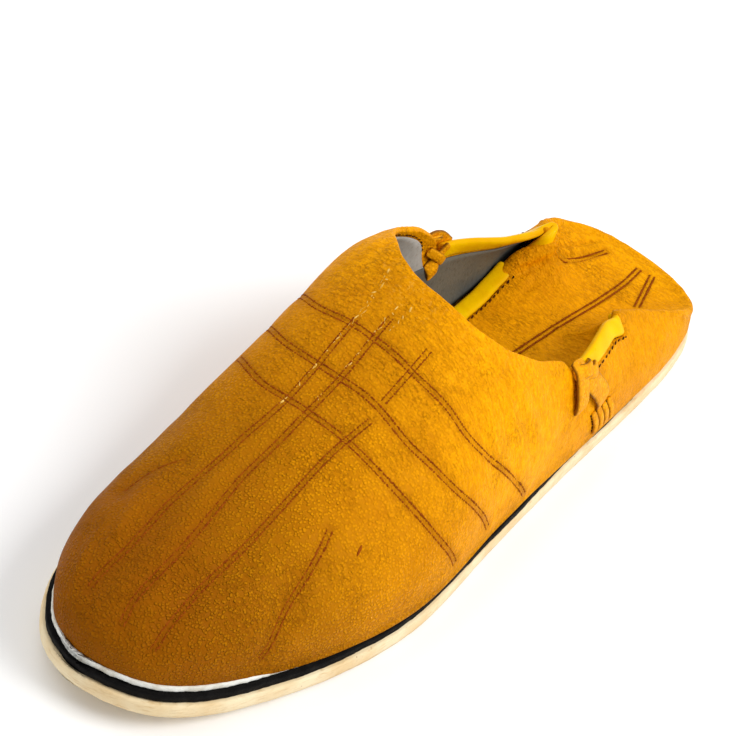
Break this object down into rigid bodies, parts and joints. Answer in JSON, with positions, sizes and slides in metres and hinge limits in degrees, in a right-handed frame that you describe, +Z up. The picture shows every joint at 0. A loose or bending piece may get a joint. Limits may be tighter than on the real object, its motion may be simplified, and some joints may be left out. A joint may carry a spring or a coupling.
{
  "type": "babouche slipper",
  "caption": "Left leather babouche slipper with a round toe, a trodden-down heel, a bound topline and a layered flat sole.",
  "frame": {"origin": "centre of the bounding box at the height of the floor", "axes": "+Z up, -Y towards the toe, +X towards the lateral (outer) side of the left foot"},
  "size_m": [0.0903, 0.28, 0.0766],
  "materials": {
    "outsole": "matt cellular crepe with a speckled edge",
    "midsole": "matt black sheet",
    "welt": "pale cut edge",
    "insole": "smooth worn grey-brown leather",
    "upper": "pebbled ochre-yellow leather, darker at the toe, with tooled double lines",
    "binding": "glossy lemon-yellow strip",
    "strap": "pebbled ochre leather with dark cut edges"
  },
  "bodies": {
    "root": {"outsole": "outsole", "midsole": "midsole", "welt": "welt", "insole": "insole", "upper": "upper", "binding": "binding", "strap_lateral": "strap", "strap_medial": "strap", "tie_lateral": "strap", "tie_medial": "strap"}
  },
  "joints": []
}
